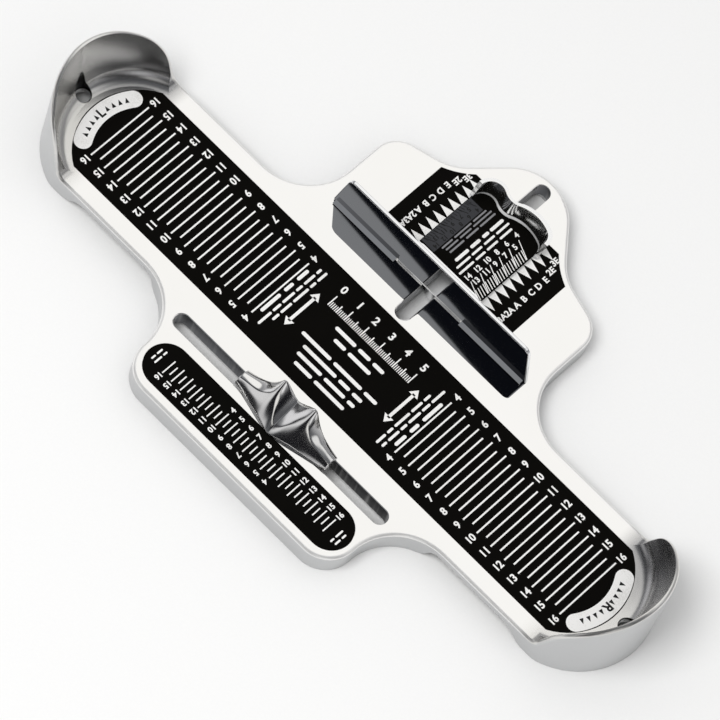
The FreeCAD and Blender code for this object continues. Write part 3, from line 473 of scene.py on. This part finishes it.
bands = bmesh.new()
band_marks = bmesh.new()
bm = bmesh.new()
for side in (1, -1):
    turn = 90 * side
    for half in range(25):
        x = side * (SIZE_FOUR + half * SIZE_STEP / 2)
        reach = 16.5 if half % 2 else 18.2
        stroke(bm, (x, -reach), (x, reach), 0.78, TABLE)
        if half % 2 == 0:
            for end in (1, -1):
                figure(bm, str(4 + half // 2), 3.9, (x, 21.9 * end), turn, TABLE, wide=0.92)
    # rows where the maker explains the scale: bars only
    words(bm, (6.0, 3.6, 9.6, 6.9, 4.2), (side * 36.0, -21.0 * side), turn, 1.25, TABLE)
    words(bm, (3.1, 6.8, 3.9, 7.6, 5.0, 8.4), (side * 38.9, -20.4 * side), turn, 1.25, TABLE)
    words(bm, (7.0, 5.6, 12.4), (side * 42.4, -15.6 * side), turn, 1.7, TABLE, gap=2.6)
    # double arrow across the plate
    stroke(bm, (side * ARROW, -8.5), (side * ARROW, 8.5), 1.5, TABLE)
    for end in (1, -1):
        triangle(bm, ((side * (ARROW - 2.6), 7.6 * end), (side * (ARROW + 2.6), 7.6 * end),
                      (side * ARROW, 11.4 * end)), TABLE)

    # heel mark: a white band on an arc with round ends
    foot = TABLE - 0.1 * INK
    rail = [bands.verts.new(spot(*on_band(side, BAND_MIDDLE + shift, -BAND_SWING), foot))
            for shift in (-BAND_HALF, 0, BAND_HALF)]
    ribs = [bands.edges.new(rail[:2]), bands.edges.new(rail[1:])]
    swept = bmesh.ops.spin(bands, geom=rail + ribs, cent=spot(side * BAND_CENTRE, 0, foot),
                           axis=(0, 0, side), angle=2 * BAND_SWING, steps=24)["geom_last"]
    last_rib = max((e for e in swept if isinstance(e, bmesh.types.BMEdge)),
                   key=lambda e: abs(e.verts[0].co.x + e.verts[1].co.x))
    for rib, angle, hand in ((ribs[1], -BAND_SWING, -1), (last_rib, BAND_SWING, 1)):
        bmesh.ops.spin(bands, geom=[*rib.verts, rib], cent=spot(*on_band(side, BAND_MIDDLE, angle), foot),
                       axis=(0, 0, side * hand), angle=math.pi, steps=12)

    # its marks in black: a letter for the heel, and arrowheads on both sides of it
    figure(band_marks, "R" if side > 0 else "L", 4.6, on_band(side, BAND_MIDDLE, 0), -90 * side, TABLE,
           layer=1, weight=0.03)
    for index in (-4, -3, -2, -1, 1, 2, 3, 4):
        angle = index * MARK_STEP
        triangle(band_marks, (on_band(side, BAND_MIDDLE + MARK_TIP, angle),
                              on_band(side, BAND_MIDDLE - MARK_TIP, angle + MARK_SPREAD),
                              on_band(side, BAND_MIDDLE - MARK_TIP, angle - MARK_SPREAD)), TABLE, layer=1)

# middle of the plate: a short centimetre rule over plain rows
for mark in range(51):
    tall = 6.2 if mark % 10 == 0 else 4.4 if mark % 5 == 0 else 2.9
    stroke(bm, (mark - 25, 10.2), (mark - 25, 10.2 + tall), 0.42 if mark % 5 else 0.6, TABLE)
for centimetre in range(6):
    figure(bm, str(centimetre), 4.2, (centimetre * 10 - 25, 21.0), 0, TABLE)
WORD_GAP = 1.8
for y, thick, lengths in ((5.2, 1.9, (12.5, 7.2, 6.6)), (0.4, 1.9, (7.0, 13.6)),
                          (-7.8, 1.8, (18.0, 17.2, 7.6)), (-12.1, 1.8, (20.4, 6.6, 5.8)),
                          (-16.4, 1.8, (15.0, 12.6, 4.2)), (-20.7, 1.8, (10.6, 18.2))):
    total = sum(lengths) + WORD_GAP * (len(lengths) - 1)
    words(bm, lengths, (-total / 2, y), 0, thick, TABLE, gap=WORD_GAP)
printed("length_scale_print", bm, "base", white_ink)

bmesh.ops.remove_doubles(bands, verts=bands.verts, dist=0.00001)
rise = raised(bmesh.ops.extrude_face_region(bands, geom=bands.faces[:]))
bmesh.ops.translate(bands, verts=rise, vec=(0, 0, INK))
bmesh.ops.recalc_face_normals(bands, faces=bands.faces)
printed("heel_bands", bands, "base", white_ink)
printed("heel_band_marks", band_marks, "base", black_ink)

# ---------------------------------------------------------------- arch scale plate
# The same black anodised plate in a smaller size, let into the table beside the arch slot. The arch
# scale is screened on it in two opposite rows, one for each foot.
ARCH_STEP = 5.54
ARCH_LEFT = -49.9                     # first line of the lower row
ARCH_FOUR = -16.6                     # first number of the upper row
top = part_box("arch_scale_plate")[1].z
bm = bmesh.new()
for half in range(37):
    x = ARCH_LEFT + half * ARCH_STEP / 2
    low, high = (-67.0, -62.0) if half % 2 else (-68.8, -60.6)
    stroke(bm, (x, low), (x, high), 0.6, top)
for index in range(13):
    figure(bm, str(4 + index), 2.9, (ARCH_FOUR + index * ARCH_STEP, -57.9), 90, top)
    figure(bm, str(16 - index), 2.9, (ARCH_LEFT + index * ARCH_STEP, -71.4), -90, top)
for end in (1, -1):
    words(bm, (4.6, 2.4), (55.6 * end, -62.0 if end > 0 else -68.0), -90 * end, 0.9, top, gap=0.9)
    words(bm, (2.6, 3.4), (57.9 * end, -62.4 if end > 0 else -67.6), -90 * end, 0.9, top, gap=0.9)
printed("arch_scale_print", bm, "base", white_ink)

# ---------------------------------------------------------------- width scale plates
# Two black anodised plates let into the table, one on each side of the width slot. White teeth
# screened on them give the widths, with their letters beside them.
WIDTH_STEP = 4.7625
WIDTH_FIRST = 65.2
WIDTHS = ("3A", "2A", "A", "B", "C", "D", "E", "2E", "3E")
TOOTH_HALF = 2.36
for side, node in ((1, "width_scale_plate_right"), (-1, "width_scale_plate_left")):
    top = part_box(node)[1].z
    bm = bmesh.new()
    for index, letter in enumerate(WIDTHS):
        y = WIDTH_FIRST + index * WIDTH_STEP
        triangle(bm, ((side * 19.0, y - TOOTH_HALF), (side * 19.0, y + TOOTH_HALF), (side * 26.5, y)), top)
        letter_out = {"2E": 29.5, "3E": 27.6}.get(letter, 31.0)
        figure(bm, letter, 3.2, (side * letter_out, y), 90 * side, top)
    printed(node.replace("plate", "print"), bm, "base", white_ink)

# ---------------------------------------------------------------- width slide
# A sheet of polished metal turned up into a wavy grip, with a black chart screwed on it and an
# upright bar riveted across it. All of it glides on the table.


def buffed(name, tone, rough, wave=1.5e-6, haze=0.02, painted_pale_line=None):
    """Buffed metal: a slow ripple from the wheel, faint haze, and swirls from use. A function may give
    a painted highlight: where it is 1 the metal turns to pale paint that is not metal."""
    material, place, plug = finish(name, Metallic=1.0)
    cloud = place.noise(38.0, 3.0)
    swirl = place.noise(420.0, 4.0, Roughness=0.6, Distortion=1.2)
    plug(Base_Color=cloud.tint([part * 0.97 for part in tone], tone),
         Roughness=rough + cloud.step(0.45, 0.75) * haze + swirl.step(0.6, 0.8) * haze,
         Normal=place.noise(26.0, 1.0).bump(1.0, wave))
    if painted_pale_line:
        plug(Metallic=1 - painted_pale_line(place))
    return material


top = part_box("width_chart_plate")[1].z


def grip_bend(place):
    """Painted highlight along the bend at the grip's foot, towards the bar: a pale line, widest in the
    grip's dip.
    """
    x, _, z = place.parts()
    _, from_bar, level = place.node("ShaderNodeNewGeometry", output=1).parts()
    dip = x.step(-0.013, -0.006) * (1 - x.step(0.000, 0.012))
    low_down = 1 - (z - top - dip * 0.0006).step(0.0006, 0.0012)
    return low_down * (1 - level.step(0.80, 0.95)) * (-from_bar).step(0.1, 0.4) * (0.5 + dip * 0.5)


bright = buffed("buffed_slide_metal", (0.84, 0.84, 0.845), 0.21)
wear(bright, "width_bar_rivets")
# the grip gets a painted highlight, a pale line along its bend
wear(buffed("buffed_grip", (0.90, 0.90, 0.90), 0.15, painted_pale_line=grip_bend), "width_carriage")

# the bar is a flat mirror whose face leans back a hair, so its height tilts the normal
bar_metal, place, plug = finish("buffed_bar", Metallic=1.0)
cloud = place.noise(45.0, 3.0)
ripple = place.noise(24.0, 1.0)
lean = place.parts()[2] * 0.0011
plug(Base_Color=cloud.tint((0.87, 0.875, 0.885), (0.91, 0.912, 0.92)), Roughness=0.005 + cloud * 0.002,
     Normal=(lean + ripple * 0.6e-6).bump())
wear(bar_metal, "width_bar")

# the half of the chart for one foot is printed in white
TICK_STEP = 1.57
EVEN_SIZES = (4, 6, 8, 10, 12, 14)
ODD_SIZES = (5, 7, 9, 11, 13)
bm = bmesh.new()
for number, y in zip(EVEN_SIZES, (98.5, 92.0, 85.7, 79.7, 73.4, 67.2)):
    figure(bm, str(number), 2.9, (7.3, y), 90, top)
    stroke(bm, (9.7, y - 1.0), (18.9, y - 5.1), 0.42, top)
for number, y in zip(ODD_SIZES, (93.7, 87.5, 81.0, 75.0, 68.5)):
    figure(bm, str(number), 2.9, (11.0, y), 90, top)
for tick in range(20):
    y = 94.6 - tick * TICK_STEP
    stroke(bm, (14.0, y), (18.9, y - 1.62), 0.42, top)
for x, thick, rows in ((-1.9, 1.6, ((91.0, 8.5), (86.0, 4.0), (78.2, 6.2), (68.2, 8.6))),
                       (1.0, 1.1, ((92.0, 8.3), (84.0, 6.8), (76.0, 6.6), (66.0, 9.0))),
                       (3.8, 1.1, ((91.4, 7.9), (83.0, 7.0), (75.7, 6.2), (64.8, 9.6)))):
    for start, length in rows:
        words(bm, (length,), (x, start), 90, thick, top)
printed("width_chart_print", bm, "width_slide", white_ink)

# the half for the other foot reads the other way, in grey and in black on a dark grey panel
grey_ink = ink("grey_ink", (0.20, 0.20, 0.21), (0.27, 0.27, 0.28))
dark_ink = ink("dark_grey_ink", (0.038, 0.039, 0.043), (0.050, 0.051, 0.056), gloss=0.1)
bm = bmesh.new()
for x, thick, rows in ((-6.4, 0.9, ((99.0, 10.0), (88.0, 8.0), (78.6, 9.4))),
                       (-8.4, 0.8, ((98.6, 12.0), (85.4, 7.4), (76.8, 8.0))),
                       (-10.2, 0.8, ((97.0, 8.6), (87.2, 11.0), (75.0, 7.0)))):
    for start, length in rows:
        words(bm, (length,), (x, start), -90, thick, top)
printed("width_chart_second_print", bm, "width_slide", grey_ink)
bm = bmesh.new()
stroke(bm, (-15.3, 64.0), (-15.3, 96.0), 8.0, top)
printed("width_chart_panel", bm, "width_slide", dark_ink)
bm = bmesh.new()
for number, y in zip(EVEN_SIZES, (94.0, 88.6, 83.2, 77.8, 72.4, 67.0)):
    figure(bm, str(number), 2.3, (-12.9, y), -90, top, layer=1)
    stroke(bm, (-14.4, y + 1.0), (-19.0, y - 1.2), 0.35, top, layer=1)
for number, y in zip(ODD_SIZES, (91.2, 85.8, 80.4, 75.0, 69.6)):
    figure(bm, str(number), 2.3, (-15.6, y), -90, top, layer=1)
for tick in range(19):
    y = 94.4 - tick * TICK_STEP
    stroke(bm, (-17.0, y), (-19.0, y - 0.7), 0.35, top, layer=1)
printed("width_chart_third_print", bm, "width_slide", black_ink)

# ---------------------------------------------------------------- arch slide
# A small cast pointer with two ears for the fingers and a valley between them that runs to its tip.
# Its wings sweep down to the table. It is buffed by hand, so its edges are soft.
POINTER_MIDDLE = 1.0
# from the middle outwards: the way out, then back edge, panel, crest, hollow and lip as (y, rise)
STATIONS = (
    (0.0, (-36.2, 8.0), (-43.0, 5.6), (-50.4, 3.2), (-52.8, 2.0), (-54.6, 0.9)),
    (2.4, (-36.2, 9.3), (-43.0, 6.8), (-50.2, 4.0), (-52.4, 2.6), (-54.2, 1.2)),
    (5.0, (-36.2, 11.7), (-42.2, 9.0), (-47.0, 6.6), (-50.6, 3.9), (-53.4, 1.6)),
    (7.8, (-36.3, 14.4), (-41.0, 11.3), (-44.8, 8.6), (-49.4, 4.9), (-52.8, 1.8)),
    (10.2, (-36.6, 16.7), (-39.6, 13.6), (-42.6, 10.6), (-48.2, 5.8), (-52.2, 1.9)),
    (12.4, (-37.0, 11.4), (-40.0, 10.6), (-43.6, 8.9), (-48.2, 5.3), (-51.7, 1.8)),
    (16.0, (-37.8, 5.8), (-41.2, 6.9), (-45.2, 6.8), (-48.6, 4.4), (-50.9, 1.4)),
    (20.0, (-38.6, 3.6), (-41.8, 5.9), (-45.6, 5.7), (-48.3, 3.6), (-50.0, 1.2)),
    (25.0, (-39.4, 2.4), (-42.4, 5.5), (-45.9, 4.7), (-47.8, 2.8), (-48.9, 1.0)),
    (29.2, (-40.0, 1.8), (-42.6, 4.3), (-45.9, 3.6), (-47.5, 2.3), (-48.2, 0.9)),
)
FOOT_RISE = 0.2
low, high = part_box("arch_pointer")
reaches = {1: high.x / MM - POINTER_MIDDLE, -1: POINTER_MIDDLE - low.x / MM}
bm = bmesh.new()
crease = bm.edges.layers.float.new("crease_edge")
rings = []
for side in (-1, 1):
    stations = STATIONS[:0:-1] if side < 0 else STATIONS
    for out, *profile in stations:
        x = POINTER_MIDDLE + side * out * reaches[side] / STATIONS[-1][0]
        (back, _), (front, _) = profile[0], profile[-1]
        outline = [(back, FOOT_RISE), *profile, (front, FOOT_RISE)]
        rings.append([bm.verts.new(spot(x, y, TABLE + rise * MM)) for y, rise in outline])
for first, second in zip(rings, rings[1:]):
    for corner in range(len(first)):
        after = (corner + 1) % len(first)
        bm.faces.new((first[corner], first[after], second[after], second[corner]))
    # firm edges along the pointer: back foot, back edge, crest, lip and front foot
    for corner, firm in ((0, 0.9), (1, 0.7), (3, 0.45), (5, 0.6), (6, 0.9)):
        bm.edges.get((first[corner], second[corner]))[crease] = firm
bm.faces.new(rings[0])
bm.faces.new(rings[-1])
valley = rings[len(rings) // 2]
for ring, firm in ((rings[0], 0.8), (rings[-1], 0.8), (valley, 0.55)):
    for corner in range(len(ring)):
        bm.edges.get((ring[corner], ring[(corner + 1) % len(ring)]))[crease] = firm
bmesh.ops.recalc_face_normals(bm, faces=bm.faces)
for face in bm.faces:
    face.smooth = True
pointer = sheet_object("arch_pointer_casting", bm)
rounding = pointer.modifiers.new("rounding", "SUBSURF")
rounding.levels = rounding.render_levels = 3
pointer.data.materials.append(
    buffed("buffed_pointer", (0.88, 0.872, 0.86), 0.12, wave=1.5e-5, haze=0.05))
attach(pointer, "arch_slide")
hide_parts("arch_pointer")

# ---------------------------------------------------------------- under the table
# Guide blocks run in the slots, with screws up into the slides and down into steel keepers. A bowed
# leaf of spring steel between the slot's rim and the keeper gives each slide its drag.
wear(buffed("turned_steel", (0.56, 0.57, 0.58), 0.22), "width_guide_screws", "width_keeper_screws",
     "arch_pointer_screws", "arch_keeper_screws", "width_keeper", "arch_keeper")
wear(buffed("spring_steel", (0.42, 0.42, 0.43), 0.28), "width_spring", "arch_spring")
wear(bright, "width_guide_block", "arch_guide_block")
